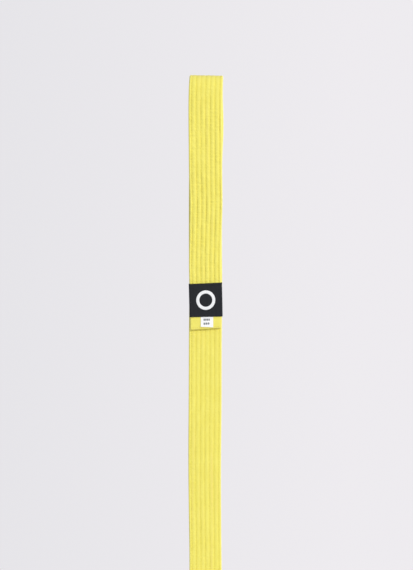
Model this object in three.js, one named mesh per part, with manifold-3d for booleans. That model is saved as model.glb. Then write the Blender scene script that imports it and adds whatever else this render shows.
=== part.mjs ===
// Martial arts belt hung over a round rail, with its spare length put away as a tied roll.
// Millimetres, +Z up. The origin is on the rail's axis at the middle of the belt's width. X runs along
// the rail and across the belt. The short tail with the label hangs on the -Y side of the rail, and
// the long tail on the +Y side ends in the roll.

import * as THREE from "three";
import { mergeVertices } from "three/addons/utils/BufferGeometryUtils.js";
import Module from "manifold-3d";

// The belt and its layers
const beltLength = 2400;
const beltWidth = 40;
const beltThickness = 4;
const coverWall = 0.7;
const coverEdge = 1;
const hemLength = 4;
const plyCount = 2;
const plyGap = 0.25;
const endGap = 0.3;

// How it hangs
const railRadius = 14;
const railGap = 0.3;
const frontDrop = 288.5;
const backDrop = 600;
const tailRestGap = 0.8;
const saddleAngle = THREE.MathUtils.degToRad(25);
const foldDepth = 310;
const foldLength = 20;
const rollBendLead = 10;

// The roll and its tie
const rollGap = 0.3;
const rollCoreRadius = 10;
const rollBendRadius = 15;
const rollStepsPerTurn = 16;
const tieAngle = THREE.MathUtils.degToRad(38);
const tieWidth = 10;
const tieThickness = 1;
const tieGap = 0.3;

// Sewing
const rowCount = 7;
const rowEdgeMargin = 3.2;
const threadWidth = 0.8;
const threadThickness = 0.4;
const threadLift = 0.15;
const endStitchInset = 1.3;
const endStitchMargin = 3;

// Label and size tag
const labelHeight = 41;
const labelFromEnd = 15;
const labelWall = 0.5;
const labelSideGap = 0.3;
const labelStitchInset = 1.2;
const tagWidth = 16;
const tagShift = 1.2;
const tagThickness = 0.4;
const tagGap = 0.2;
const tagTuck = 8;
const tagFromSeam = 1.3;

// Places that follow from those sizes
const halfThickness = beltThickness / 2;
const bendRadius = railRadius + railGap + halfThickness;
const rollPitch = beltThickness + rollGap;
const cavityThickness = beltThickness - 2 * coverWall;
const cavityWidth = beltWidth - 2 * coverEdge;
const plyThickness = (cavityThickness - (plyCount + 1) * plyGap) / plyCount;
const plyWidth = cavityWidth - 2 * plyGap;
const labelBottomDrop = frontDrop - labelFromEnd;
const labelTopDrop = labelBottomDrop - labelHeight;
const tagBottomDrop = frontDrop - endStitchInset - threadWidth / 2 - tagFromSeam;
const labelInnerHalf = halfThickness + tagThickness + 2 * tagGap;
const labelOuterHalf = labelInnerHalf + labelWall;

// The short tail leans in until its end, or the label's lower edge, rests against the long tail
function leanOf(insideRadius, drop) {
  const reach = railRadius + railGap - tailRestGap;
  return Math.atan2(insideRadius, drop) + Math.asin(reach / Math.hypot(insideRadius, drop));
}
const frontLean = Math.min(
  leanOf(bendRadius - halfThickness, frontDrop),
  leanOf(bendRadius - labelOuterHalf, labelBottomDrop),
);

// The roll takes all the length that the tails and the bends leave over
const roll = { outer: rollCoreRadius + rollPitch, lift: 0 };
for (let pass = 0; pass < 12; pass += 1) {
  roll.lift = Math.acos(rollBendRadius / (roll.outer + rollBendRadius));
  const bendLength = rollBendRadius * roll.lift;
  const overLength = (Math.PI + frontLean) * bendRadius;
  const spare = beltLength - frontDrop - overLength - backDrop - bendLength;
  roll.outer = Math.sqrt(rollCoreRadius ** 2 + (spare * rollPitch) / Math.PI);
}
roll.turns = (roll.outer - rollCoreRadius) / rollPitch;
roll.sweep = roll.turns * 2 * Math.PI;
roll.steps = Math.round(roll.turns * rollStepsPerTurn);
roll.centreZ = -backDrop - (rollBendRadius + roll.outer) * Math.sin(roll.lift);

const cotton = new THREE.MeshStandardMaterial({ color: 0xf2e56c, roughness: 0.9, metalness: 0 });
const batting = new THREE.MeshStandardMaterial({ color: 0xefe9d8, roughness: 0.95, metalness: 0 });
const thread = new THREE.MeshStandardMaterial({ color: 0xe3d25c, roughness: 0.7, metalness: 0 });
const labelWeave = new THREE.MeshStandardMaterial({ color: 0x26282c, roughness: 0.8, metalness: 0 });
const satin = new THREE.MeshStandardMaterial({ color: 0xf4f3f0, roughness: 0.45, metalness: 0 });
const tape = new THREE.MeshStandardMaterial({ color: 0xe9e4d6, roughness: 0.85, metalness: 0 });

const wasm = await Module();
wasm.setup();

// A course in the YZ plane, walked by its parameter and not by its length, so that layers at different
// offsets keep their corners in line. The belt lies flat along X all the way.
class Course extends THREE.Curve {
  constructor(place) {
    super();
    this.place = place;
  }

  getPoint(t, target = new THREE.Vector3()) {
    const [y, z] = this.place(t);
    return target.set(0, y, z);
  }

  getUtoTmapping(u) {
    return u;
  }

  computeFrenetFrames(steps) {
    const frames = { tangents: [], normals: [], binormals: [] };
    for (let i = 0; i <= steps; i += 1) {
      const tangent = this.getTangentAt(i / steps);
      const normal = new THREE.Vector3(1, 0, 0);
      frames.tangents.push(tangent);
      frames.normals.push(normal);
      frames.binormals.push(new THREE.Vector3().crossVectors(tangent, normal));
    }
    return frames;
  }
}

// Straight down at depth y, from one drop below the rail's axis to another
function plumb(y, from, to) {
  return new Course((t) => [y, -THREE.MathUtils.lerp(from, to, t)]);
}

// Round the rail, with angles from the top towards +Y; out is the distance outside the mid-line
function overRail(from, to, out) {
  const radius = bendRadius + out;
  return new Course((t) => {
    const angle = THREE.MathUtils.lerp(from, to, t);
    return [radius * Math.sin(angle), radius * Math.cos(angle)];
  });
}

// From the foot of the long tail round to the roll, where the belt turns the other way
function ontoRoll(from, to, out) {
  const radius = rollBendRadius - out;
  return new Course((t) => {
    const angle = THREE.MathUtils.lerp(from, to, t);
    return [
      bendRadius + rollBendRadius - radius * Math.cos(angle),
      -backDrop - radius * Math.sin(angle),
    ];
  });
}

// Inwards round the roll, with from and to in steps. Its corners stay at whole steps, so that layers
// which begin or end at different places still lie face to face.
function roundRoll(from, to, out) {
  return new Course((t) => {
    const walked = THREE.MathUtils.lerp(Math.floor(from), Math.ceil(to), t);
    const turned = (THREE.MathUtils.clamp(walked, from, to) / roll.steps) * roll.sweep;
    const radius = roll.outer - (rollPitch * turned) / (2 * Math.PI) + out;
    const angle = roll.lift - turned;
    return [bendRadius + radius * Math.cos(angle), roll.centreZ + radius * Math.sin(angle)];
  });
}

function rectangle(Kind, width, height) {
  const shape = new Kind();
  shape.moveTo(-width / 2, -height / 2);
  shape.lineTo(width / 2, -height / 2);
  shape.lineTo(width / 2, height / 2);
  shape.lineTo(-width / 2, height / 2);
  shape.closePath();
  return shape;
}

function bar(width, thickness) {
  return rectangle(THREE.Shape, width, thickness);
}

function tube(width, thickness, side, face) {
  const shape = bar(width, thickness);
  shape.holes.push(rectangle(THREE.Path, width - 2 * side, thickness - 2 * face));
  return shape;
}

function sweep(section, course, steps) {
  return new THREE.ExtrudeGeometry(section, { steps, bevelEnabled: false, extrudePath: course });
}

function solidOf(geometry) {
  const bare = geometry.clone();
  bare.deleteAttribute("normal");
  bare.deleteAttribute("uv");
  const merged = mergeVertices(bare, 1e-4);
  return new wasm.Manifold(
    new wasm.Mesh({
      numProp: 3,
      vertProperties: merged.getAttribute("position").array,
      triVerts: new Uint32Array(merged.index.array),
    }),
  );
}

function geometryOf(solid) {
  const mesh = solid.getMesh();
  const geometry = new THREE.BufferGeometry();
  geometry.setAttribute("position", new THREE.BufferAttribute(mesh.vertProperties, 3));
  geometry.setIndex(new THREE.BufferAttribute(mesh.triVerts, 1));
  geometry.computeVertexNormals();
  return geometry;
}

const belt = new THREE.Group();
belt.name = "martial_arts_belt";
const shortTail = new THREE.Group();
shortTail.name = "short_tail";
shortTail.rotation.x = frontLean;
belt.add(shortTail);

function add(name, geometry, material, group = belt) {
  const mesh = new THREE.Mesh(geometry, material);
  mesh.name = name;
  group.add(mesh);
  return mesh;
}

// One stretch of the belt, open at both ends: the cotton cover and the plies inside it. course(out)
// gives the line at a distance outside the mid-line.
function addStretch(name, course, steps) {
  const section = tube(beltWidth, beltThickness, coverEdge, coverWall);
  add(`cover_${name}`, sweep(section, course(0), steps), cotton);
  addPlies(name, course, steps);
}

function addPlies(name, course, steps, group = belt) {
  for (let i = 0; i < plyCount; i += 1) {
    const out = (i - (plyCount - 1) / 2) * (plyThickness + plyGap);
    const layer = plyCount === 2 ? ["inner", "outer"][i] : i + 1;
    const ply = sweep(bar(plyWidth, plyThickness), course(out), steps);
    add(`core_${layer}_${name}`, ply, batting, group);
  }
}

// A cover with a solid hem at its far end; hollow is the same line, begun early and stopped at the hem
function addHemmedCover(name, whole, hollow, steps, group = belt) {
  const outside = solidOf(sweep(bar(beltWidth, beltThickness), whole, steps));
  const inside = solidOf(sweep(bar(cavityWidth, cavityThickness), hollow, steps));
  add(`cover_${name}`, geometryOf(outside.subtract(inside)), cotton, group);
}

// The needle threads on the outer face of a straight tail; side is -1 in front and 1 behind
function addRows(name, side, from, to, group = belt) {
  const pitch = (beltWidth - 2 * rowEdgeMargin) / (rowCount - 1);
  const depth = bendRadius + halfThickness + threadLift + threadThickness / 2;
  for (let row = 0; row < rowCount; row += 1) {
    const course = plumb(side * depth, from, to);
    const mesh = add(
      `stitch_row_${name}_${row + 1}`,
      sweep(bar(threadWidth, threadThickness), course, 1),
      thread,
      group,
    );
    mesh.position.x = -beltWidth / 2 + rowEdgeMargin + row * pitch;
  }
}

// A row of stitches across the front of the short tail
function addCrossStitch(name, width, lift, drop) {
  const depth = bendRadius + lift + threadLift + threadThickness / 2;
  const geometry = new THREE.BoxGeometry(width, threadThickness, threadWidth);
  add(name, geometry, thread, shortTail).position.set(0, -depth, -drop);
}

const arcSteps = 10;
const arcGap = endGap / bendRadius;
const quarter = Math.PI / 2;

// Over the rail
addStretch("saddle", (out) => overRail(-saddleAngle, saddleAngle, out), arcSteps);
const bendFrom = saddleAngle + arcGap;
addStretch("front_bend", (out) => overRail(-bendFrom, -quarter - frontLean, out), arcSteps);
addStretch("back_bend", (out) => overRail(bendFrom, quarter, out), arcSteps);

// The short tail in front, upright in its own group
const tailTop = endGap;
const frontHem = frontDrop - hemLength;
addHemmedCover(
  "front_tail",
  plumb(-bendRadius, tailTop, frontDrop),
  plumb(-bendRadius, tailTop - hemLength, frontHem),
  1,
  shortTail,
);
addPlies("front_tail", (out) => plumb(-bendRadius - out, tailTop, frontHem - endGap), 1, shortTail);
addRows("front", -1, tailTop, labelTopDrop - endGap, shortTail);
addCrossStitch(
  "end_stitch_front",
  beltWidth - 2 * endStitchMargin,
  halfThickness,
  frontDrop - endStitchInset,
);

// The label goes right round the tail, and its two edges are sewn down across the front
const labelSection = tube(
  beltWidth + 2 * labelSideGap + 2 * labelWall,
  2 * labelOuterHalf,
  labelWall,
  labelWall,
);
const labelCourse = plumb(-bendRadius, labelTopDrop, labelBottomDrop);
add("label_sleeve", sweep(labelSection, labelCourse, 1), labelWeave, shortTail);
addCrossStitch("label_stitch_top", beltWidth, labelOuterHalf, labelTopDrop + labelStitchInset);
addCrossStitch(
  "label_stitch_bottom",
  beltWidth,
  labelOuterHalf,
  labelBottomDrop - labelStitchInset,
);

// The size tag is tucked under the label's lower edge, and the rest of it hangs free
function addTag(name, from, to) {
  const depth = -bendRadius - halfThickness - tagGap - tagThickness / 2;
  const ribbon = sweep(bar(tagWidth, tagThickness), plumb(depth, from, to), 1);
  add(name, ribbon, satin, shortTail).position.x = tagShift;
}
addTag("size_tag_tuck", labelBottomDrop - tagTuck, labelBottomDrop);
addTag("size_tag", labelBottomDrop + endGap, tagBottomDrop);

// The long tail behind, with a fold part of the way down
const foldFrom = foldDepth - foldLength / 2;
const foldTo = foldDepth + foldLength / 2;
const lowerTo = backDrop - rollBendLead;
addStretch("back_upper", (out) => plumb(bendRadius + out, tailTop, foldFrom), 1);
addStretch("back_fold", (out) => plumb(bendRadius + out, foldFrom + endGap, foldTo), 2);
addStretch("back_lower", (out) => plumb(bendRadius + out, foldTo + endGap, lowerTo), 1);
addRows("upper", 1, tailTop, foldFrom);
addRows("lower", 1, foldTo + endGap, lowerTo);

// The bend onto the roll begins with a short straight lead
const leadLength = rollBendLead - endGap;
const leadAngle = -leadLength / rollBendRadius;
function leadAndBend(out) {
  const bend = ontoRoll(0, roll.lift, out);
  return new Course((t) => {
    const angle = THREE.MathUtils.lerp(leadAngle, roll.lift, t);
    const above = (leadLength * angle) / leadAngle;
    return angle < 0 ? [bendRadius + out, above - backDrop] : bend.place(angle / roll.lift);
  });
}
addStretch("roll_bend", leadAndBend, arcSteps);

// The roll
const stepAngle = roll.sweep / roll.steps;
const rollStart = endGap / (stepAngle * roll.outer);
const rollHem = roll.steps - 1;
const plyEnd = rollHem - endGap / (stepAngle * rollCoreRadius);
addHemmedCover(
  "roll",
  roundRoll(rollStart, roll.steps, 0),
  roundRoll(-rollStart, rollHem, 0),
  roll.steps,
);
addPlies("roll", (out) => roundRoll(rollStart, plyEnd, out), rollHem);

// The closing seam lies across the middle of the roll's last step, on the side of the eye
const seamDepth = -halfThickness - threadLift - threadThickness / 2;
const lastStep = roundRoll(roll.steps - 1, roll.steps, seamDepth);
const seamFrom = lastStep.getPoint(0);
const seamTo = lastStep.getPoint(1);
const seam = add(
  "end_stitch_roll",
  new THREE.BoxGeometry(beltWidth - 2 * endStitchMargin, threadThickness, threadWidth),
  thread,
);
seam.position.lerpVectors(seamFrom, seamTo, 0.5);
seam.rotation.x = Math.atan2(seamTo.z - seamFrom.z, seamTo.y - seamFrom.y) - Math.PI / 2;

// The tie runs through the eye, over both edges and across the outside of the turns
const eyeRadius = rollCoreRadius - halfThickness - threadLift - threadThickness - tieGap;
const eyeFlat = eyeRadius * Math.cos(Math.PI / rollStepsPerTurn);
const tieInner = Math.sqrt(eyeFlat ** 2 - (tieWidth / 2) ** 2);
const tieOuter = roll.outer + halfThickness + tieGap;
const tieSection = tube(
  beltWidth + 2 * tieGap + 2 * tieThickness,
  tieOuter - tieInner + 2 * tieThickness,
  tieThickness,
  tieThickness,
);
const tieGeometry = new THREE.ExtrudeGeometry(tieSection, { depth: tieWidth, bevelEnabled: false });
tieGeometry.translate(0, 0, -tieWidth / 2);
const tie = add("roll_tie", tieGeometry, tape);
const tieMiddle = (tieOuter + tieInner) / 2;
tie.position.set(
  0,
  bendRadius + tieMiddle * Math.cos(tieAngle),
  roll.centreZ + tieMiddle * Math.sin(tieAngle),
);
tie.rotation.x = tieAngle;

export default belt;
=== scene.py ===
"""A yellow martial arts belt hung over a rail, with its spare length rolled and tied.

The belt is drawn in its own coordinates: x across it, s along it from the short tail's end, and out
away from its mid-line on the outer face. on_belt() puts such points in the row frame, in metres, so
that the cotton, the stitches, the label, the tag and the roll all follow one course.
"""

import math

import bpy
import numpy as np
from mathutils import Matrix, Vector


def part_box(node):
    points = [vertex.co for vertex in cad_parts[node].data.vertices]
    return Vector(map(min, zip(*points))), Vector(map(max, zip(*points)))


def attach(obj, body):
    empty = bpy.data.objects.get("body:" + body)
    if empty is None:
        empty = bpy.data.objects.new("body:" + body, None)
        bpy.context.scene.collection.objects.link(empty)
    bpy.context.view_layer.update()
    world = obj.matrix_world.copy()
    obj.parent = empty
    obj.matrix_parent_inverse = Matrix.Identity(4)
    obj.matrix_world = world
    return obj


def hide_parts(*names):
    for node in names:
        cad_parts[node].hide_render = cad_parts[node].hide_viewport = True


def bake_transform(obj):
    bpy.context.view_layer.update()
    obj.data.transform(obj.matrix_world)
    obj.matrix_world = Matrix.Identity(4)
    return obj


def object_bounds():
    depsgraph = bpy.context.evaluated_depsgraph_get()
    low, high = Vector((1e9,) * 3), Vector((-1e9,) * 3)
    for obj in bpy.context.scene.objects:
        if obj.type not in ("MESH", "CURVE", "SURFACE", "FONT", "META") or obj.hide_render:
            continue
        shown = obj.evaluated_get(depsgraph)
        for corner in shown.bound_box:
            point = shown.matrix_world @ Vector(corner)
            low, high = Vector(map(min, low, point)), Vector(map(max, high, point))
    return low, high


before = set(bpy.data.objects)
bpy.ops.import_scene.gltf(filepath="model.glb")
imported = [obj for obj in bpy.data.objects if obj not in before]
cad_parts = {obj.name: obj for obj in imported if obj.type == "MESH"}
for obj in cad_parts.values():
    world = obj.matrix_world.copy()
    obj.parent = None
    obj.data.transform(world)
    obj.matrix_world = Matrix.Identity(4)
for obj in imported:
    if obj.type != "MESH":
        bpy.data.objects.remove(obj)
cad_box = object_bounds()

MM = 0.001

# The belt and the course that its CAD solids follow
BELT_LENGTH = 2400 * MM
BELT_WIDTH = 40 * MM
BELT_THICKNESS = 4 * MM
RAIL_RADIUS = 14 * MM
RAIL_GAP = 0.3 * MM
FRONT_DROP = 288.5 * MM
BACK_DROP = 600 * MM
FOLD_DEPTH = 310 * MM
TAIL_REST_GAP = 0.8 * MM
ROLL_GAP = 0.3 * MM
ROLL_CORE_RADIUS = 10 * MM
ROLL_BEND_RADIUS = 15 * MM
HALF_THICKNESS = BELT_THICKNESS / 2
HALF_WIDTH = BELT_WIDTH / 2
BEND_RADIUS = RAIL_RADIUS + RAIL_GAP + HALF_THICKNESS
ROLL_PITCH = BELT_THICKNESS + ROLL_GAP

# How far the cotton's faces lie inside the CAD cover's, and its meshes' spacing along the belt and
# number of points in a lane
FACE_INSET = 0.14 * MM
HANGING_STEP = 0.8 * MM
HANGING_POINTS = 6
ROLL_STEP = 1.9 * MM
ROLL_POINTS = 5

# Sewing
ROW_COUNT = 7
ROW_MARGIN = 3.2 * MM
STITCH_PITCH = 3.2 * MM
STITCH_LENGTH = 2.5 * MM
THREAD_RADIUS = 0.27 * MM
END_SEAM_INSET = 2.3 * MM
END_SEAM_MARGIN = 3 * MM
END_SEAM_PITCH = 2.6 * MM
END_SEAM_RADIUS = 0.25 * MM
ROW_PITCH = (BELT_WIDTH - 2 * ROW_MARGIN) / (ROW_COUNT - 1)
ROWS = [-HALF_WIDTH + ROW_MARGIN + row * ROW_PITCH for row in range(ROW_COUNT)]

# Label and size tag
LABEL_HEIGHT = 41 * MM
LABEL_FROM_END = 15 * MM
LABEL_TOP = LABEL_FROM_END + LABEL_HEIGHT
LABEL_WALL = 0.5 * MM
LABEL_INNER = 2.35 * MM
LABEL_SIDE = 0.4 * MM
LABEL_BACK_GAP = 0.1 * MM
LABEL_SEAM_INSET = 1.3 * MM
LABEL_SEAM_PITCH = 2.4 * MM
LABEL_SEAM_RADIUS = 0.22 * MM
RING_RADIUS = 10 * MM
RING_HALF_BAND = 1.9 * MM
RING_HALF_HEIGHT = 0.16 * MM
TAG_WIDTH = 15.6 * MM
TAG_SHIFT = 1.2 * MM
TAG_TUCK = 8 * MM
TAG_FROM_END = 3.2 * MM
TAG_THICKNESS = 0.22 * MM

# The tie round the roll
TIE_ANGLE = math.radians(38)
TIE_WIDTH = 10 * MM
TIE_THICKNESS = 0.9 * MM
TIE_OVERLAP = 26 * MM
TIE_CORNER = 2.6 * MM
TIE_EYE = 3.6 * MM

# The floor, a little below the roll, and the camera
FLOOR_RADIUS = 0.72
FLOOR_GAP = 0.08
CAMERA_PLACE = (1.2 * MM, -1.70, -235.3 * MM)
CAMERA_LENS = 88.7
CAMERA_SENSOR = 36


def lean_of(inside, drop):
    """The short tail's lean at which its inner face, inside from the axis, rests on the long tail."""
    reach = RAIL_RADIUS + RAIL_GAP - TAIL_REST_GAP
    return math.atan2(inside, drop) + math.asin(reach / math.hypot(inside, drop))


# The CAD label stands off the belt by its wall, the tag and the gaps on both sides of the tag
LABEL_OUTER_HALF = HALF_THICKNESS + 1.3 * MM
FRONT_LEAN = min(
    lean_of(BEND_RADIUS - HALF_THICKNESS, FRONT_DROP),
    lean_of(BEND_RADIUS - LABEL_OUTER_HALF, FRONT_DROP - LABEL_FROM_END),
)


def settle_roll():
    """The roll's outer radius, and the angle through which the belt bends before it."""
    outer = ROLL_CORE_RADIUS + ROLL_PITCH
    over = (math.pi + FRONT_LEAN) * BEND_RADIUS
    for _ in range(12):
        lift = math.acos(ROLL_BEND_RADIUS / (outer + ROLL_BEND_RADIUS))
        spare = BELT_LENGTH - FRONT_DROP - over - BACK_DROP - ROLL_BEND_RADIUS * lift
        outer = math.sqrt(ROLL_CORE_RADIUS**2 + spare * ROLL_PITCH / math.pi)
    return outer, lift


ROLL_OUTER, ROLL_LIFT = settle_roll()
ROLL_Z = -BACK_DROP - (ROLL_BEND_RADIUS + ROLL_OUTER) * math.sin(ROLL_LIFT)

# Lengths along the belt at which one part of its course ends and the next begins
S_TOP_FRONT = FRONT_DROP
S_TOP_BACK = S_TOP_FRONT + (math.pi + FRONT_LEAN) * BEND_RADIUS
S_APEX = S_TOP_FRONT + (math.pi / 2 + FRONT_LEAN) * BEND_RADIUS
S_FOOT = S_TOP_BACK + BACK_DROP
S_ROLL = S_FOOT + ROLL_BEND_RADIUS * ROLL_LIFT


def smooth(t):
    """From 0 to 1 as t goes from 0 to 1, level at both ends."""
    t = np.clip(t, 0, 1)
    return t * t * (3 - 2 * t)


def noise(u, v, seed):
    """Smooth noise from -1 to 1 over the plane, with one random value at each whole u and v."""
    table = np.random.default_rng(seed).uniform(-1, 1, (64, 1024))
    cell_u, cell_v = np.floor(u).astype(int), np.floor(v).astype(int)
    part_u, part_v = smooth(u - cell_u), smooth(v - cell_v)

    def corner(i, j):
        return table[(cell_u + i) % 64, (cell_v + j) % 1024]

    low = corner(0, 0) * (1 - part_u) + corner(1, 0) * part_u
    high = corner(0, 1) * (1 - part_u) + corner(1, 1) * part_u
    return low * (1 - part_v) + high * part_v


def bump(s, middle, reach):
    """1 at the middle, falling off smoothly on both sides within about that reach."""
    return np.exp(-(((s - middle) / reach) ** 2))


# The belt's own slight unevenness: how far it wanders sideways, as (size, where, reach)
WANDER = (
    (0.65 * MM, 10 * MM, 32 * MM),
    (-0.7 * MM, 80 * MM, 26 * MM),
    (0.75 * MM, 153 * MM, 26 * MM),
    (-0.3 * MM, S_TOP_FRONT - 25 * MM, 32 * MM),
    (1.15 * MM, S_APEX, 25 * MM),
    (1.8 * MM, S_TOP_BACK + 42 * MM, 36 * MM),
    (0.55 * MM, S_TOP_BACK + 245 * MM, 38 * MM),
    (-0.3 * MM, S_TOP_BACK + 350 * MM, 260 * MM),
    (-0.8 * MM, S_TOP_BACK + 460 * MM, 68 * MM),
    (0.2 * MM, S_TOP_BACK + 580 * MM, 30 * MM),
)


def wander(s):
    """How far the mid-line lies to one side at length s, in the hanging belt and in the roll."""
    loose = sum(size * bump(s, middle, reach) for size, middle, reach in WANDER)
    turns = 0.5 * MM * noise(0 * s, s / (90 * MM), 3) * smooth((s - S_ROLL) / (60 * MM))
    return loose + turns


# The short tail's end isn't cut quite square, and the label isn't sewn on quite square
END_SKEW = math.tan(math.radians(3.5))
LABEL_SKEW = math.tan(math.radians(0.8))


def slope(s):
    """How steeply the mid-line runs to one side there."""
    step = 0.5 * MM
    return (wander(s + step) - wander(s - step)) / (2 * step)


def narrowing(s):
    """The belt's width as a share of its full width: it is a little narrower towards both tails."""
    short_tail = 0.036 * smooth((245 * MM - s) / (160 * MM))
    long_tail = 0.028 * bump(s, S_TOP_BACK + 550 * MM, 90 * MM)
    return 1.008 - short_tail - long_tail - 0.004 * noise(0 * s, s / (45 * MM), 5)


def lift_off(x, s):
    """How far the belt stands off its course, where it isn't quite flat."""
    saddle = 0.7 * MM * (0.5 - x / BELT_WIDTH) * bump(s, S_APEX, 16 * MM)
    free = smooth((s - 90 * MM) / (60 * MM)) * smooth((S_FOOT - s) / (80 * MM))
    over_rail = bump(s, S_APEX, 45 * MM)
    wave = 0.45 * MM * noise(x / (30 * MM), s / (38 * MM), 7)
    return saddle + wave * free * (1 - over_rail)


def course(s):
    """The mid-line at lengths s, and its way out, each as y and z."""
    y, z, out_y, out_z = (np.zeros_like(s) for _ in range(4))

    def fill(where, place_y, place_z, way_y, way_z):
        for target, value in zip((y, z, out_y, out_z), (place_y, place_z, way_y, way_z)):
            target[where] = np.broadcast_to(value, s.shape)[where]

    # The short tail, leaning in
    sin, cos = math.sin(FRONT_LEAN), math.cos(FRONT_LEAN)
    drop = FRONT_DROP - s
    tail_y = drop * sin - BEND_RADIUS * cos
    tail_z = -BEND_RADIUS * sin - drop * cos
    fill(s < S_TOP_FRONT, tail_y, tail_z, -cos, -sin)

    # Over the rail
    angle = (s - S_APEX) / BEND_RADIUS
    sin, cos = np.sin(angle), np.cos(angle)
    over = (s >= S_TOP_FRONT) & (s < S_TOP_BACK)
    fill(over, BEND_RADIUS * sin, BEND_RADIUS * cos, sin, cos)

    # The long tail, straight down
    fill((s >= S_TOP_BACK) & (s < S_FOOT), BEND_RADIUS, S_TOP_BACK - s, 1, 0)

    # The bend that leads to the roll
    angle = (s - S_FOOT) / ROLL_BEND_RADIUS
    sin, cos = np.sin(angle), np.cos(angle)
    bend_y = BEND_RADIUS + ROLL_BEND_RADIUS * (1 - cos)
    bend_z = -BACK_DROP - ROLL_BEND_RADIUS * sin
    fill((s >= S_FOOT) & (s < S_ROLL), bend_y, bend_z, cos, sin)

    # The roll, wound from its outermost turn inwards
    wound = np.maximum(s - S_ROLL, 0)
    smallest = 1e-8
    radius = np.sqrt(np.maximum(ROLL_OUTER**2 - wound * ROLL_PITCH / math.pi, smallest))
    angle = ROLL_LIFT - (ROLL_OUTER - radius) * 2 * math.pi / ROLL_PITCH
    sin, cos = np.sin(angle), np.cos(angle)
    fill(s >= S_ROLL, BEND_RADIUS + radius * cos, ROLL_Z + radius * sin, cos, sin)
    return y, z, out_y, out_z


def on_belt(x, s, out):
    """Points in the row frame for the belt's own coordinates."""
    x, s, out = (np.array(v, float) for v in np.broadcast_arrays(x, s, out))
    end_skew = END_SKEW * smooth(1 - s / (14 * MM))
    off_square = end_skew + LABEL_SKEW * smooth((95 * MM - s) / (38 * MM))
    skewed = s - x * slope(s) + x * off_square
    y, z, out_y, out_z = course(skewed)
    off = out + lift_off(x, s)
    return np.stack([x * narrowing(s) + wander(s), y + out_y * off, z + out_z * off], axis=-1)


def lanes(x):
    """How far x lies into the lane between two rows, from 0 at a row to 1, and the lane's index."""
    past_edge = HALF_WIDTH + 1.5 * MM
    borders = np.array([-past_edge, *ROWS, past_edge])
    index = np.clip(np.searchsorted(borders, x) - 1, 0, len(borders) - 2)
    low, high = borders[index], borders[index + 1]
    across = (x - low) / (high - low)
    return 1 - np.abs(2 * across - 1), index


def sewn(s):
    """0 at the plain hem of either end, and 1 where the rows are sewn."""
    return smooth((s - 18 * MM) / (20 * MM)) * smooth((BELT_LENGTH - 10 * MM - s) / (6 * MM))


def half_at(x, s, side):
    """Half the belt's thickness there, on its outer (side 1) or inner (side -1) face."""
    into, lane = lanes(x)
    pull = 0.5 + 0.5 * np.cos(2 * math.pi * s / STITCH_PITCH)
    fuller = 1 + 0.8 * smooth((S_TOP_FRONT - s) / (30 * MM))
    depth = (0.48 + 0.12 * pull + 0.1 * noise(x / (9 * MM), s / (30 * MM), 21)) * fuller * MM
    pillow = depth * (1 - into) ** 2.2
    puckers = noise(x / (6.5 * MM) + 9, s / (2.1 * MM), 11 + side)
    puckers = puckers + 0.7 * noise(lane * 7.3, s / (3.1 * MM), 15 + side)
    puckers = puckers + 0.8 * noise(lane * 5.7, s / (19 * MM), 25 + side)
    uneven = 0.18 * MM * fuller * (puckers - 0.5) * np.minimum(1, 3 * into)
    half = HALF_THICKNESS - FACE_INSET - (pillow - uneven) * sewn(s)
    round_edge = 1.7 * MM
    beyond = np.clip((np.abs(x) - HALF_WIDTH + round_edge) / round_edge, 0, 1)
    round_end = 1.4 * MM
    from_end = np.minimum(s, BELT_LENGTH - s)
    short = np.clip(1 - from_end / round_end, 0, 1)
    thinnest = 0.004
    return half * np.sqrt(1 - beyond**2) * np.sqrt(np.maximum(1 - short**2, thinnest))


def section(points_a_lane):
    """The places across the belt at which its faces have points, closer together at the rows."""
    inner = np.sin(np.linspace(-math.pi / 2, math.pi / 2, points_a_lane + 1)) / 2 + 0.5
    places = []
    for low, high in zip(ROWS, ROWS[1:]):
        places.extend(low + (high - low) * inner[:-1])
    edge = ROWS[-1] + ROW_MARGIN * np.sin(np.linspace(0, math.pi / 2, points_a_lane + 1))
    return np.array([*(-edge[::-1])[:-1], *places, *edge])


SHARP_FROM = math.radians(60)


def mesh_object(name, points, faces, uv, values, material):
    """A mesh with smooth faces, its place on the cloth in the UV map, and named values at its points."""
    mesh = bpy.data.meshes.new(name)
    mesh.from_pydata(points.reshape(-1, 3).tolist(), [], faces)
    mesh.shade_smooth()
    mesh.set_sharp_from_angle(angle=SHARP_FROM)
    corners = np.zeros(len(mesh.loops), int)
    mesh.loops.foreach_get("vertex_index", corners)
    layer = mesh.uv_layers.new(name="cloth")
    layer.data.foreach_set("uv", uv.reshape(-1, 2)[corners].ravel().astype(np.float32))
    for key, value in values.items():
        attribute = mesh.attributes.new(key, "FLOAT", "POINT")
        attribute.data.foreach_set("value", value.ravel().astype(np.float32))
    mesh.materials.append(material)
    mesh.validate()
    made = bpy.data.objects.new(name, mesh)
    bpy.context.scene.collection.objects.link(made)
    return made


def reversed_faces(faces):
    """The same faces, seen from their other side."""
    return [face[::-1] for face in faces]


def tube_faces(rings, around):
    """Quads round a tube that has that many rings of that many points."""
    faces = []
    for ring in range(rings - 1):
        for i in range(around):
            j = (i + 1) % around
            low, high = ring * around, (ring + 1) * around
            faces.append((low + i, low + j, high + j, high + i))
    return faces


def cap_faces(first, across):
    """Faces that close a ring whose two faces share their points at both edges of the belt."""
    around = 2 * across - 2
    faces = []
    for i in range(across - 1):
        under, next_under = (around - i) % around, around - i - 1
        corners = (first + i, first + i + 1, first + next_under, first + under)
        faces.append(tuple(dict.fromkeys(corners)))
    return faces


def strip_faces(rings, across):
    """Faces of a closed strip, each of whose rings runs along its front and back along its back."""
    around = 2 * across
    faces = tube_faces(rings, around)
    for first, flip in ((0, True), ((rings - 1) * around, False)):
        for i in range(across - 1):
            face = (first + i, first + i + 1, first + around - 2 - i, first + around - 1 - i)
            faces.append(face[::-1] if flip else face)
    return faces


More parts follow.
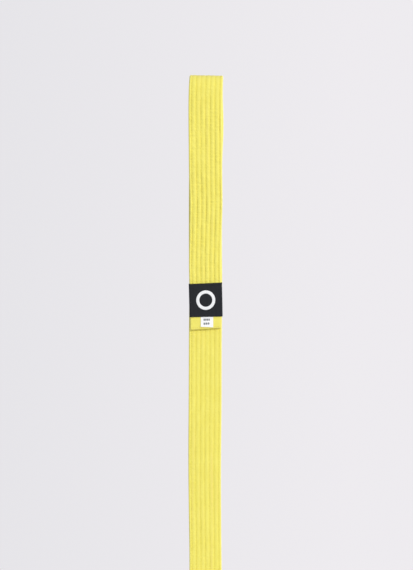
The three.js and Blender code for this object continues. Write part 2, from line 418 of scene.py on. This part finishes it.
def stretch(name, start, end, step, points_a_lane, material):
    """The belt from length start to end as a closed mesh.

    Its points mark the grooves along the rows, where the material paints shade, and the worn edges for
    the material, and the map of the cloth keeps its outer and inner faces apart."""
    across = section(points_a_lane)
    x = np.concatenate([across, across[-2:0:-1]])
    side = np.concatenate([np.ones(len(across)), -np.ones(len(across) - 2)])
    s = np.linspace(start, end, round((end - start) / step) + 1)
    near_end = np.array([0.12, 0.35, 0.7, 1.1]) * MM
    end_zone = 1.5 * MM
    if start == 0:
        s = np.concatenate([[0], near_end, s[s > end_zone]])
    if end == BELT_LENGTH:
        s = np.concatenate([s[s < end - end_zone], end - near_end[::-1], [end]])
    grid_x, grid_s = np.meshgrid(x, s)
    outer = half_at(grid_x, grid_s, 1)
    inner = half_at(grid_x, grid_s, -1)
    out = np.where(side > 0, outer, -inner)
    corner = np.minimum(grid_s, BELT_LENGTH - grid_s)
    round_corner = 1.2 * MM
    tuck = round_corner * (1 - np.sqrt(1 - np.clip(1 - corner / round_corner, 0, 1) ** 2))
    placed = on_belt(np.clip(grid_x, tuck - HALF_WIDTH, HALF_WIDTH - tuck), grid_s, out)
    into, _ = lanes(grid_x)
    # Where the cotton gets painted shade: the grooves along the rows
    groove_shade = (1 - smooth(into / 0.42)) * sewn(grid_s) * (np.abs(grid_x) < HALF_WIDTH - 1.5 * MM)
    edge = smooth((np.abs(grid_x) - HALF_WIDTH + 1.6 * MM) / (1.4 * MM))
    edge = np.maximum(edge, smooth(1 - corner / end_zone))
    faces = reversed_faces(tube_faces(len(s), len(x)))
    faces += reversed_faces(cap_faces(0, len(across)))
    faces += cap_faces((len(s) - 1) * len(x), len(across))
    faces_apart = 0.1
    uv = np.stack([grid_x + side * faces_apart, grid_s], axis=-1)
    values = {"groove_shade": groove_shade, "edge": edge}
    made = mesh_object(name, placed, faces, uv, values, material)
    return made


# A wave so long, in metres, that it doesn't show
NO_WAVE = 1000.0

# A mix node's sockets for colours, which has others of the same names for numbers
COLOUR_A = 6
COLOUR_B = 7
COLOUR_RESULT = 2


class Look:
    """A material's node tree, with a short call for each kind of node used here."""

    def __init__(self, name, roughness, specular=0.35, sheen=0.0):
        self.material = bpy.data.materials.new(name)
        self.material.use_nodes = True
        self.tree = self.material.node_tree
        self.shader = self.tree.nodes["Principled BSDF"]
        self.shader.inputs["Roughness"].default_value = roughness
        self.shader.inputs["Specular IOR Level"].default_value = specular
        self.shader.inputs["Sheen Weight"].default_value = sheen
        self.shader.inputs["Sheen Roughness"].default_value = 0.45
        self.uv = self.add("ShaderNodeUVMap", uv_map="cloth").outputs["UV"]
        parts = self.add("ShaderNodeSeparateXYZ", [self.uv])
        self.across, self.along = parts.outputs["X"], parts.outputs["Y"]

    def add(self, kind, inputs=(), **settings):
        """A new node, with values or other nodes' sockets for its first inputs."""
        node = self.tree.nodes.new(kind)
        for key, value in settings.items():
            setattr(node, key, value)
        for index, value in enumerate(inputs):
            self.give(node.inputs[index], value)
        return node

    def give(self, socket, value):
        """Sets an input, or links it if the value is another node's socket."""
        if isinstance(value, bpy.types.NodeSocket):
            self.tree.links.new(value, socket)
        elif value is not None:
            socket.default_value = value

    def math(self, operation, a, b=None, c=None):
        """The result of one operation on numbers."""
        return self.add("ShaderNodeMath", [a, b, c], operation=operation).outputs[0]

    def wave(self, across_size, along_size):
        """From 0 to 1 and back, once in that many metres across and along the cloth."""
        a = self.math("MULTIPLY", self.across, 2 * math.pi / across_size)
        b = self.math("MULTIPLY", self.along, 2 * math.pi / along_size)
        return self.math("MULTIPLY_ADD", self.math("SINE", self.math("ADD", a, b)), 0.5, 0.5)

    def noise(self, across_scale, along_scale, detail=2.0):
        """Noise from about 0 to 1, with that many cells a metre across and along the cloth."""
        scaled = self.add(
            "ShaderNodeVectorMath",
            [self.uv, (across_scale, along_scale, 1.0)],
            operation="MULTIPLY",
        )
        node = self.add("ShaderNodeTexNoise", [scaled.outputs[0]])
        node.inputs["Scale"].default_value = 1.0
        node.inputs["Detail"].default_value = detail
        return node.outputs[0]

    def spread(self, value, low, high, to_low=0.0, to_high=1.0):
        """The value moved from the range low to high to another range, and held within it."""
        return self.add("ShaderNodeMapRange", [value, low, high, to_low, to_high]).outputs[0]

    def attribute(self, name):
        """One of the values that the mesh holds at its points."""
        return self.add("ShaderNodeAttribute", attribute_name=name).outputs["Fac"]

    def mix(self, share, a, b):
        """Colour a with that share of colour b in it."""
        node = self.add("ShaderNodeMix", data_type="RGBA")
        self.give(node.inputs[0], share)
        self.give(node.inputs[COLOUR_A], a)
        self.give(node.inputs[COLOUR_B], b)
        return node.outputs[COLOUR_RESULT]

    def finish(self, colour, roughness=None, height=None, depth=0.0, strength=1.0):
        """The finished material, with height as relief of that depth in metres."""
        self.give(self.shader.inputs["Base Color"], colour)
        if roughness is not None:
            self.give(self.shader.inputs["Roughness"], roughness)
        if height is not None:
            relief = self.add("ShaderNodeBump")
            relief.inputs["Strength"].default_value = strength
            relief.inputs["Distance"].default_value = depth
            self.give(relief.inputs["Height"], height)
            self.give(self.shader.inputs["Normal"], relief.outputs[0])
        return self.material


def cotton_look():
    """Yellow cotton drill: a diagonal weave, mottled dye, painted shade along the rows and between the
    yarns, and paler, fuzzy edges.
    """
    look = Look("cotton_drill", 0.88, specular=0.45, sheen=0.25)
    nearly_straight = 100.0
    twill = look.wave(0.62 * MM, 0.5 * MM)
    yarn = look.wave(0.34 * MM, nearly_straight)
    fibre = look.noise(9000, 5000)
    weave = look.math("MULTIPLY_ADD", twill, 0.65, look.math("MULTIPLY", yarn, 0.35))
    height = look.math("MULTIPLY_ADD", fibre, 0.5, weave)

    yellow = (0.905, 0.818, 0.155, 1)
    deep = (0.800, 0.695, 0.070, 1)
    warm = (0.925, 0.725, 0.195, 1)
    pale = (0.930, 0.870, 0.275, 1)
    mottled = look.spread(look.noise(120, 60, 4.0), 0.35, 0.7, 0.0, 0.34)
    flecked = look.spread(look.noise(700, 420), 0.3, 0.75, 0.0, 0.2)
    streaked = look.spread(look.noise(190, 9), 0.56, 0.72, 0.0, 0.34)
    # Painted shade: the cotton is darker in the grooves along the rows, where shade falls
    painted_groove_shade = look.math("MULTIPLY", look.attribute("groove_shade"), 0.4)
    worn = look.math("MULTIPLY", look.attribute("edge"), 0.35)
    # Painted shade: the cotton darkens where the weave's relief is low, between the yarns
    painted_shade_between_yarns = look.spread(weave, 0.0, 0.6, 0.16, 0.0)
    colour = look.mix(mottled, yellow, deep)
    colour = look.mix(flecked, colour, pale)
    colour = look.mix(streaked, colour, warm)
    colour = look.mix(painted_groove_shade, colour, deep)
    colour = look.mix(worn, colour, pale)
    colour = look.mix(painted_shade_between_yarns, colour, deep)
    rough = look.spread(look.noise(600, 600), 0.3, 0.7, 0.82, 0.94)
    return look.finish(colour, rough, height, 0.07 * MM, 0.7)


def thread_look(name, colour, dark, sheen=0.2):
    """Twisted sewing thread, with painted shade in the grooves of its twist."""
    look = Look(name, 0.6, sheen=sheen)
    twist = look.wave(0.5 * MM, 0.42 * MM)
    # Painted shade: the thread darkens in the low grooves of its twist
    shade = look.mix(look.spread(twist, 0.0, 0.7, 0.5, 0.0), colour, dark)
    shade = look.mix(look.spread(look.noise(900, 300), 0.35, 0.7, 0.0, 0.3), shade, dark)
    return look.finish(shade, look.spread(twist, 0, 1, 0.7, 0.5), twist, 0.06 * MM, 0.8)


def woven_look(name, colour, dark, rib, roughness, sheen=0.3):
    """A fine narrow weave: ribs across it, with the crossing yarns between them, and painted shade where
    its relief is low.
    """
    look = Look(name, roughness, sheen=sheen)
    ribs = look.wave(NO_WAVE, rib)
    yarns = look.wave(rib * 0.8, NO_WAVE)
    weave = look.math("MULTIPLY_ADD", ribs, 0.6, look.math("MULTIPLY", yarns, 0.4))
    # Painted shade: the colour darkens where the weave's relief is low, between the ribs and yarns
    shade = look.mix(look.spread(weave, 0.1, 0.7, 0.55, 0.0), colour, dark)
    shade = look.mix(look.spread(look.noise(260, 180, 3.0), 0.35, 0.7, 0.0, 0.35), shade, dark)
    rough = look.spread(look.noise(900, 900), 0.3, 0.7, roughness - 0.06, roughness + 0.06)
    return look.finish(shade, rough, weave, 0.08 * MM, 0.7)


# The tag's two rows of marks: where each row's middle is along the belt, its number of marks, and
# their pitch. Both rows start at the same place across the belt.
MARK_ROWS = ((11.5 * MM, 4, 2.05 * MM), (6.7 * MM, 3, 2.6 * MM))
MARKS_START = -4.3 * MM
MARK_HALF_HEIGHT = 1.25 * MM
MARK_SHARE = 0.8


def tag_look():
    """White satin ribbon, with painted shade between its ribs, and two generic rows of small grey marks.
    """
    look = Look("tag_satin", 0.42, specular=0.5, sheen=0.1)
    ribs = look.wave(0.25 * MM, NO_WAVE)
    white, shade = (0.96, 0.96, 0.965, 1), (0.82, 0.83, 0.85, 1)
    # Painted shade: the satin darkens between its ribs
    satin = look.mix(look.spread(ribs, 0, 1, 0.12, 0.0), white, shade)
    marks = 0.0
    for middle, count, pitch in MARK_ROWS:
        from_middle = look.math("ABSOLUTE", look.math("SUBTRACT", look.along, middle))
        row = look.math("LESS_THAN", from_middle, MARK_HALF_HEIGHT)
        number = look.math("MULTIPLY_ADD", look.across, 1 / pitch, -MARKS_START / pitch)
        begun = look.math("GREATER_THAN", number, 0.0)
        within = look.math("MULTIPLY", look.math("LESS_THAN", number, float(count)), begun)
        dashes = look.math("LESS_THAN", look.math("FRACT", number), MARK_SHARE)
        dashes = look.math("MULTIPLY", look.math("MULTIPLY", dashes, within), row)
        marks = look.math("MAXIMUM", dashes, marks)
    ink = look.math("MULTIPLY", marks, 0.9)
    colour = look.mix(ink, satin, (0.10, 0.11, 0.12, 1))
    return look.finish(colour, None, ribs, 0.03 * MM, 0.5)


cotton = cotton_look()
yellow_thread = thread_look(
    "thread_yellow",
    colour=(0.86, 0.74, 0.14, 1),
    dark=(0.66, 0.53, 0.05, 1),
)
black_thread = thread_look(
    "thread_black",
    colour=(0.020, 0.021, 0.026, 1),
    dark=(0.008, 0.008, 0.010, 1),
)
label_weave = woven_look(
    "label_weave",
    colour=(0.010, 0.0115, 0.0165, 1),
    dark=(0.004, 0.005, 0.007, 1),
    rib=0.55 * MM,
    roughness=0.75,
    sheen=0.06,
)
emblem_weave = woven_look(
    "emblem_weave",
    colour=(0.95, 0.95, 0.955, 1),
    dark=(0.74, 0.75, 0.78, 1),
    rib=0.5 * MM,
    roughness=0.6,
)
tape_weave = woven_look(
    "tape_weave",
    colour=(0.80, 0.76, 0.66, 1),
    dark=(0.58, 0.54, 0.44, 1),
    rib=0.9 * MM,
    roughness=0.85,
)
tag_satin = tag_look()


def midline_at(s):
    """The place of the mid-line at that length, on the course."""
    y, z, _, _ = course(np.array([float(s)]))
    return (0.0, float(y[0]), float(z[0]))


def long_tail_at(drop):
    """The place of the long tail's mid-line that far below the rail's axis."""
    return (0.0, BEND_RADIUS, -drop)


# The back's cover is split between the places where it bends
S_MIDDLE = S_TOP_BACK + 200 * MM
S_LOWER = S_TOP_BACK + 450 * MM

# The bend listed for each stretch runs from the apex to this far below the rail's axis on a tail, and
# from this far above the joint to this far below it at the fold and the roll
APEX = (0.0, 0.0, BEND_RADIUS)
SWING_REACH = 24 * MM
FOLD_REACH = 12 * MM
ROLL_REACH_ABOVE = 14 * MM
ROLL_REACH_BELOW = 10 * MM

# Each stretch of the cover: its ends along the belt, the two bodies that it bends between, where
# the bend starts and ends, the CAD stretches that it stands for, and the CAD name of its rows
STRETCHES = {
    "front": {
        "ends": (0, S_APEX),
        "bodies": ("saddle", "front_tail"),
        "bend": (APEX, midline_at(FRONT_DROP - SWING_REACH)),
        "stands_for": ("saddle", "front_bend", "front_tail"),
        "rows": "front",
    },
    "back_top": {
        "ends": (S_APEX, S_MIDDLE),
        "bodies": ("saddle", "back_upper"),
        "bend": (APEX, long_tail_at(SWING_REACH)),
        "stands_for": ("back_bend", "back_upper"),
        "rows": "upper",
    },
    "back_middle": {
        "ends": (S_MIDDLE, S_LOWER),
        "bodies": ("back_upper", "back_lower"),
        "bend": (
            long_tail_at(FOLD_DEPTH - FOLD_REACH),
            long_tail_at(FOLD_DEPTH + FOLD_REACH),
        ),
        "stands_for": ("back_fold", "back_lower"),
        "rows": "lower",
    },
    "back_foot": {
        "ends": (S_LOWER, S_ROLL),
        "bodies": ("back_lower", "roll"),
        "bend": (
            long_tail_at(BACK_DROP - ROLL_REACH_ABOVE),
            long_tail_at(BACK_DROP + ROLL_REACH_BELOW),
        ),
        "stands_for": ("roll_bend",),
        "rows": None,
    },
}


def bend_with(piece):
    """Bakes a piece's placement into its mesh."""
    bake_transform(piece)


def cad_stretch(name):
    """The CAD nodes of the cover and both plies in that stretch."""
    return [f"cover_{name}", f"core_inner_{name}", f"core_outer_{name}"]


def make_cover():
    """The belt's cotton, in four hanging stretches and the roll."""
    for name, part in STRETCHES.items():
        start, end = part["ends"]
        piece = stretch(f"cotton_{name}", start, end, HANGING_STEP, HANGING_POINTS, cotton)
        bend_with(piece)
        for stood_for in part["stands_for"]:
            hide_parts(*cad_stretch(stood_for))
    piece = stretch("cotton_roll", S_ROLL, BELT_LENGTH, ROLL_STEP, ROLL_POINTS, cotton)
    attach(piece, "roll")
    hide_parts(*cad_stretch("roll"))


# The rings of one stitch: how far along it, how thick and how high, as shares of its half length
# and its radius
STITCH_RINGS = np.array([(-1.0, 0.45, -0.9), (-0.45, 1.0, 0.1), (0.45, 1.0, 0.1), (1.0, 0.45, -0.9)])
STITCH_SIDES = 5
STITCH_STANDS = 0.35


def stitches(name, x, s, out, along_x, length, radius, material, side=1):
    """Separate stitches centred on points x and s, each one a short thread that dips in at both ends.

    out(x, s) is the height of what they lie on."""
    ring_along, ring_thick, ring_high = (STITCH_RINGS[:, i, None] for i in range(3))
    angle = np.linspace(0, 2 * math.pi, STITCH_SIDES, endpoint=False)
    reach = ring_along * length / 2 + 0 * angle
    lateral = ring_thick * radius * np.cos(angle)
    lifted = ring_thick * radius * np.sin(angle) + ring_high * radius
    add_x, add_s = (reach, lateral) if along_x else (lateral, reach)
    point_x = x[:, None, None] + add_x
    point_s = s[:, None, None] + add_s
    flat_x = point_x if along_x else x[:, None, None] + 0 * add_x
    height = out(flat_x, point_s) + STITCH_STANDS * radius + lifted
    points = on_belt(point_x, point_s, side * height)

    rings, around = reach.shape
    last = (rings - 1) * around
    one = tube_faces(rings, around)
    one += [tuple(range(around))[::-1], tuple(range(last, last + around))]
    if along_x == (side > 0):
        one = reversed_faces(one)
    size = rings * around
    faces = [tuple(i + k * size for i in face) for k in range(len(x)) for face in one]
    cloth_per_radian = 0.1 * MM
    turn = np.broadcast_to(angle * cloth_per_radian, point_s.shape)
    lie = np.broadcast_to(reach, point_s.shape)
    made = mesh_object(name, points, faces, np.stack([turn, lie], axis=-1), {}, material)
    return made


def row_places(start, end):
    """The middles of the stitches that lie between those lengths."""
    first, last = math.ceil(start / STITCH_PITCH), math.floor(end / STITCH_PITCH)
    return (np.arange(first, last) + 0.5) * STITCH_PITCH


def join(pieces, name):
    """One object of several, with the first one's settings."""
    with bpy.context.temp_override(
        active_object=pieces[0],
        object=pieces[0],
        selected_objects=pieces,
        selected_editable_objects=pieces,
    ):
        bpy.ops.object.join()
    pieces[0].name = name
    pieces[0].data.name = name
    return pieces[0]


def row_thread(name, row, start, end, sides=(1, -1)):
    """One row's needle thread on the outer face, and its bobbin thread on the inner face."""
    s = row_places(start, end)
    x = np.full(len(s), ROWS[row])
    made = []
    for side in sides:
        made.append(
            stitches(
                f"{name}_{'needle' if side > 0 else 'bobbin'}",
                x,
                s,
                lambda px, ps, side=side: half_at(px, ps, side),
                along_x=False,
                length=STITCH_LENGTH,
                radius=THREAD_RADIUS,
                material=yellow_thread,
                side=side,
            )
        )
    return join(made, name) if len(made) > 1 else made[0]


def make_rows():
    """The sewing rows, from just under the label's upper edge to the end of the roll's outer turn."""
    under_label = 6 * MM
    for name, part in STRETCHES.items():
        start, end = part["ends"]
        start = max(start, LABEL_TOP - under_label)
        for row in range(ROW_COUNT):
            thread = row_thread(f"stitch_row_{row + 1}_{name}", row, start, end)
            bend_with(thread)
            if part["rows"]:
                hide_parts(f"stitch_row_{part['rows']}_{row + 1}")
    outer_turn = 2 * math.pi * ROLL_OUTER
    for row in range(ROW_COUNT):
        thread = row_thread(f"stitch_row_{row + 1}_roll", row, S_ROLL, S_ROLL + outer_turn, (1,))
        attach(thread, "roll")


def seam(name, s, half_span, out, pitch, radius, material, side=1):
    """A row of stitches across the belt at length s."""
    x = np.arange(-half_span + pitch / 2, half_span, pitch)
    return stitches(
        name,
        x,
        np.full(len(x), s),
        out,
        along_x=True,
        length=pitch * 0.8,
        radius=radius,
        material=material,
        side=side,
    )


def make_end_seams():
    """The seams that close the cover at both ends of the belt."""
    roll_seam = BELT_LENGTH - END_SEAM_INSET
    for name, s, side, body, node in (
        ("closing_seam_front", END_SEAM_INSET, 1, "front_tail", "end_stitch_front"),
        ("closing_seam_roll", roll_seam, -1, "roll", "end_stitch_roll"),
    ):
        piece = seam(
            name,
            s,
            HALF_WIDTH - END_SEAM_MARGIN,
            lambda px, ps, side=side: half_at(px, ps, side),
            END_SEAM_PITCH,
            END_SEAM_RADIUS,
            yellow_thread,
            side,
        )
        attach(piece, body)
        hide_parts(node)


def ring_section(half_width, half_front, half_back, corner, points):
    """A rounded rectangle round the belt, as x and out, starting on its outer face."""
    xs, outs = [], []
    flat = half_width - corner
    face = np.linspace(-flat, flat, points)
    turn = np.linspace(0, math.pi, 9)[1:-1]
    middle, half = (half_front - half_back) / 2, (half_front + half_back) / 2
    xs.extend(face)
    outs.extend(np.full(points, middle + half))
    xs.extend(flat + corner * np.sin(turn))
    outs.extend(middle + half * np.cos(turn))
    xs.extend(face[::-1])
    outs.extend(np.full(points, middle - half))
    xs.extend(-flat - corner * np.sin(turn))
    outs.extend(middle - half * np.cos(turn))
    return np.array(xs), np.array(outs)


def label_front(x, s):
    """The height of the label's outer face on the front: folded hems, and the rows seen through it."""
    from_edge = np.minimum(s - LABEL_FROM_END, LABEL_TOP - s)
    hem = 0.14 * MM * smooth((2.9 * MM - from_edge) / (0.5 * MM))
    into, _ = lanes(x)
    ribbed = 0.1 * MM * smooth(into) * smooth(from_edge / (4 * MM))
    soft = 0.09 * MM * noise(x / (9 * MM) + 3, s / (7 * MM), 23)
    return LABEL_INNER + LABEL_WALL + hem + ribbed + soft


def make_label():
    """The woven label, a sleeve round the short tail, and the seams along both its edges."""
    s = np.linspace(LABEL_FROM_END, LABEL_TOP, 67)
    points_across = 61
    side = HALF_WIDTH + LABEL_SIDE
    back = HALF_THICKNESS + LABEL_BACK_GAP
    inner_x, inner_out = ring_section(side, LABEL_INNER, back, 1.5 * MM, points_across)
    outer_x, outer_out = ring_section(
        side + LABEL_WALL,
        LABEL_INNER + LABEL_WALL,
        back + LABEL_WALL,
        2 * MM,
        points_across,
    )
    grid_x, grid_s = np.meshgrid(outer_x, s)
    grid_out = np.broadcast_to(outer_out, grid_s.shape)
    raised = np.where(grid_out > 0, label_front(grid_x, grid_s) - LABEL_INNER - LABEL_WALL, 0)
    rim = np.minimum(grid_s - s[0], s[-1] - grid_s)
    rounded = 0.16 * MM * smooth(1 - rim / (0.9 * MM))
    outer = on_belt(grid_x, grid_s, grid_out + (raised - rounded) * np.sign(grid_out))
    inner = on_belt(*np.meshgrid(inner_x, s), np.broadcast_to(inner_out, grid_s.shape))

    around = len(outer_x)
    faces = reversed_faces(tube_faces(len(s), around))
    offset = len(s) * around
    faces += [tuple(i + offset for i in face[::-1]) for face in faces]
    last = (len(s) - 1) * around
    for i in range(around):
        j = (i + 1) % around
        faces.append((i, j, offset + j, offset + i))
        faces.append((last + j, last + i, offset + last + i, offset + last + j))
    points = np.concatenate([outer.reshape(-1, 3), inner.reshape(-1, 3)])
    step_x = np.diff(outer_x, prepend=outer_x[-1])
    step_out = np.diff(outer_out, prepend=outer_out[-1])
    walk = np.cumsum(np.hypot(step_x, step_out))
    uv_outer = np.stack(np.meshgrid(walk, s), axis=-1).reshape(-1, 2)
    uv = np.concatenate([uv_outer, uv_outer])
    label = mesh_object("label_sleeve_woven", points, faces, uv, {}, label_weave)
    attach(label, "front_tail")
    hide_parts("label_sleeve")

    for edge, at in (
        ("top", LABEL_TOP - LABEL_SEAM_INSET),
        ("bottom", LABEL_FROM_END + LABEL_SEAM_INSET),
    ):
        run = seam(
            f"label_seam_{edge}",
            at,
            HALF_WIDTH - 0.5 * MM,
            label_front,
            LABEL_SEAM_PITCH,
            LABEL_SEAM_RADIUS,
            black_thread,
        )
        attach(run, "front_tail")
        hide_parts(f"label_stitch_{edge}")


def make_emblem():
    """A plain woven ring in the middle of the label."""
    middle_s = LABEL_FROM_END + LABEL_HEIGHT / 2
    angle = np.linspace(0, 2 * math.pi, 120, endpoint=False)
    turn = np.linspace(0, 2 * math.pi, 16, endpoint=False)
    band = RING_HALF_BAND * np.sign(np.cos(turn)) * np.abs(np.cos(turn)) ** 0.5
    rise = RING_HALF_HEIGHT * np.sin(turn)
    grid_angle, grid_band = np.meshgrid(angle, band, indexing="ij")
    x = (RING_RADIUS + grid_band) * np.cos(grid_angle)
    s = middle_s + (RING_RADIUS + grid_band) * np.sin(grid_angle)
    points = on_belt(x, s, label_front(x, s) + rise)
    rings, around = len(angle), len(turn)
    faces = tube_faces(rings, around)
    last = (rings - 1) * around
    faces += [(last + i, last + (i + 1) % around, (i + 1) % around, i) for i in range(around)]
    faces = reversed_faces(faces)
    uv = np.stack([x, s], axis=-1)
    emblem = mesh_object("label_ring", points, faces, uv, {}, emblem_weave)
    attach(emblem, "front_tail")


def ribbon(name, x, s, out, thickness, uv, material):
    """A thin closed strip from grids of x, s and out, each with a row for each length."""
    front = on_belt(x, s, out + thickness / 2)
    back = on_belt(x, s, out - thickness / 2)
    points = np.concatenate([front, back[:, ::-1]], axis=1)
    faces = reversed_faces(strip_faces(*x.shape))
    both = np.concatenate([uv, uv[:, ::-1]], axis=1)
    return mesh_object(name, points, faces, both, {}, material)


def make_tag():
    """The size tag, tucked under the label, cut a little askew and curling up at its free end."""
    top = LABEL_FROM_END + TAG_TUCK
    s = np.linspace(TAG_FROM_END, top, 60)
    x = np.linspace(-TAG_WIDTH / 2, TAG_WIDTH / 2, 31)
    grid_x, grid_s = np.meshgrid(x, s)
    free = np.clip(1 - (grid_s - TAG_FROM_END) / (LABEL_FROM_END - TAG_FROM_END), 0, 1)
    from_left = grid_x / TAG_WIDTH + 0.5
    askew = 1.5 * MM
    grid_s = grid_s - askew * from_left * free
    curl = 0.9 * MM * free**2.4 * (1 - 0.5 * from_left)
    ripple = 0.05 * MM * noise(grid_x / (4 * MM), grid_s / (4 * MM), 31) * free
    out = HALF_THICKNESS + 0.06 * MM + curl + ripple
    uv = np.stack([grid_x, grid_s], axis=-1)
    tag = ribbon("size_tag_ribbon", grid_x + TAG_SHIFT, grid_s, out, TAG_THICKNESS, uv, tag_satin)
    midline_at(LABEL_FROM_END + 0.5 * MM)
    midline_at(LABEL_FROM_END - 3 * MM)
    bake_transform(tag)
    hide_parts("size_tag", "size_tag_tuck")


# How far from the roll's middle the tie lies on its outermost turn
TIE_OUTER = ROLL_OUTER + HALF_THICKNESS + 0.8 * MM


def tie_path():
    """The tie's course round the roll's turns: points at even steps along it, and their lengths.

    Each point is how far it lies across the roll, and how far out from the roll's middle."""
    low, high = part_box("roll_tie")
    across = (high.x - low.x) / 2 - 0.5 * MM
    corners = [(-across, TIE_OUTER), (-across, TIE_EYE), (across, TIE_EYE), (across, TIE_OUTER)]
    path = [(TIE_OVERLAP / 2 - 4 * MM, TIE_OUTER)]
    for index, (corner_x, corner_r) in enumerate(corners):
        to_x = 1 if corner_x < 0 else -1
        to_r = -1 if corner_r > TIE_EYE else 1
        level, upright = math.atan2(0, -to_x), math.atan2(-to_r, 0)
        begin, stop = (upright, level) if index % 2 == 0 else (level, upright)
        turn = (stop - begin + math.pi) % (2 * math.pi) - math.pi
        for angle in begin + turn * np.linspace(0, 1, 7):
            x = corner_x + TIE_CORNER * (to_x + math.cos(angle))
            r = corner_r + TIE_CORNER * (to_r + math.sin(angle))
            path.append((x, r))
    path.append((-TIE_OVERLAP / 2, TIE_OUTER))

    path = np.array(path)
    steps = np.hypot(*np.diff(path, axis=0).T)
    length = np.concatenate([[0], np.cumsum(steps)])
    along = np.linspace(0, length[-1], 190)
    x, r = (np.interp(along, length, path[:, i]) for i in (0, 1))
    lap = smooth((along - length[-1] + TIE_OVERLAP + 5 * MM) / (6 * MM))
    return x, r + lap * (TIE_THICKNESS + 0.15 * MM), along


def make_tie():
    """A cotton tape through the eye of the roll and round its turns, its ends lapped."""
    path_x, path_r, along = tie_path()
    way_x, way_r = np.gradient(path_x), np.gradient(path_r)
    size = np.hypot(way_x, way_r)
    side_x, side_r = way_r / size, -way_x / size
    width = np.linspace(-TIE_WIDTH / 2, TIE_WIDTH / 2, 15)
    droop = np.sqrt(TIE_OUTER**2 - width**2) - TIE_OUTER
    outside = smooth((path_r - TIE_OUTER + 8 * MM) / (8 * MM))
    radial_y, radial_z = math.cos(TIE_ANGLE), math.sin(TIE_ANGLE)
    round_edge = np.sqrt(np.clip(1 - (np.abs(width) / (TIE_WIDTH / 2)) ** 8, 0.05, 1))
    both_faces = []
    for face in (1, -1):
        half = face * TIE_THICKNESS / 2 * round_edge
        x = path_x[:, None] + side_x[:, None] * half
        r = path_r[:, None] + side_r[:, None] * half + outside[:, None] * droop
        y = BEND_RADIUS + r * radial_y - width * radial_z
        z = ROLL_Z + r * radial_z + width * radial_y
        both_faces.append(np.stack([x, y, z], axis=-1))
    points = np.concatenate([both_faces[0], both_faces[1][:, ::-1]], axis=1)
    uv = np.stack(np.meshgrid(width, along), axis=-1)
    uv = np.concatenate([uv, uv[:, ::-1]], axis=1)
    faces = strip_faces(len(along), len(width))
    tie = mesh_object("roll_tie_tape", points, faces, uv, {}, tape_weave)
    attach(tie, "roll")
    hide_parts("roll_tie")


def make_floor():
    """A pale disc under the object, out of the main view."""
    bpy.ops.mesh.primitive_circle_add(vertices=96, radius=FLOOR_RADIUS, fill_type="NGON")
    floor = bpy.context.object
    floor.name = "studio_floor"
    lowest = cad_box[0]
    floor.location = (0, 0, lowest.z - FLOOR_GAP)
    look = Look("studio_floor", 0.9)
    floor.data.materials.append(look.finish((0.86, 0.85, 0.87, 1)))


def make_world():
    """Soft light all round, dimmer from the left, and the pale wall that the camera sees, with painted
    shade that darkens it towards the left.
    """
    world = bpy.data.worlds.new("studio")
    bpy.context.scene.world = world
    world.use_nodes = True
    tree = world.node_tree
    light = tree.nodes["Background"]
    light.inputs["Strength"].default_value = 1.0
    seen = tree.nodes.new("ShaderNodeBackground")
    direction = tree.nodes.new("ShaderNodeTexCoord")
    parts = tree.nodes.new("ShaderNodeSeparateXYZ")
    tree.links.new(direction.outputs["Generated"], parts.inputs[0])

    # Each gradient's ends, as the direction's X, and its colours there
    for target, from_x, to_x, left, right in (
        (light, -1.0, 1.0, (0.37, 0.38, 0.40, 1), (0.83, 0.83, 0.83, 1)),
        # The wall that the camera sees gets painted shade, darker towards the left
        (seen, -0.14, 0.10, (0.795, 0.785, 0.815, 1), (0.855, 0.835, 0.865, 1)),
    ):
        ramp = tree.nodes.new("ShaderNodeMapRange")
        ramp.inputs["From Min"].default_value = from_x
        ramp.inputs["From Max"].default_value = to_x
        tree.links.new(parts.outputs["X"], ramp.inputs["Value"])
        blend = tree.nodes.new("ShaderNodeMix")
        blend.data_type = "RGBA"
        blend.inputs[COLOUR_A].default_value = left
        blend.inputs[COLOUR_B].default_value = right
        tree.links.new(ramp.outputs[0], blend.inputs[0])
        tree.links.new(blend.outputs[COLOUR_RESULT], target.inputs["Color"])

    ray = tree.nodes.new("ShaderNodeLightPath")
    mix = tree.nodes.new("ShaderNodeMixShader")
    tree.links.new(ray.outputs["Is Camera Ray"], mix.inputs[0])
    tree.links.new(light.outputs[0], mix.inputs[1])
    tree.links.new(seen.outputs[0], mix.inputs[2])
    tree.links.new(mix.outputs[0], tree.nodes["World Output"].inputs["Surface"])


def area_light(name, where, aim, size, power):
    """A round lamp of that size that shines from one place towards another."""
    data = bpy.data.lights.new(name, "AREA")
    data.shape = "DISK"
    data.size = size
    data.energy = power
    lamp = bpy.data.objects.new(name, data)
    bpy.context.scene.collection.objects.link(lamp)
    lamp.location = where
    lamp.visible_camera = False
    way = Vector(aim) - Vector(where)
    lamp.rotation_euler = way.to_track_quat("-Z", "Y").to_euler()


def make_camera():
    """A level camera in front of the belt, looking along +Y."""
    data = bpy.data.cameras.new("camera")
    data.sensor_width = CAMERA_SENSOR
    data.lens = CAMERA_LENS
    camera = bpy.data.objects.new("camera", data)
    camera.location = CAMERA_PLACE
    camera.rotation_euler = (math.pi / 2, 0, 0)
    bpy.context.scene.collection.objects.link(camera)
    bpy.context.scene.camera = camera


make_cover()
make_rows()
make_end_seams()
make_label()
make_emblem()
make_tag()
make_tie()
make_floor()
make_world()
area_light("key", where=(1.6, -2.8, 1.15), aim=(0, 0, -0.3), size=0.8, power=62)
area_light("fill_behind", where=(1.2, 2.0, 0.3), aim=(0, 0, -0.35), size=0.9, power=32)
make_camera()
bpy.context.scene.view_settings.view_transform = "Standard"
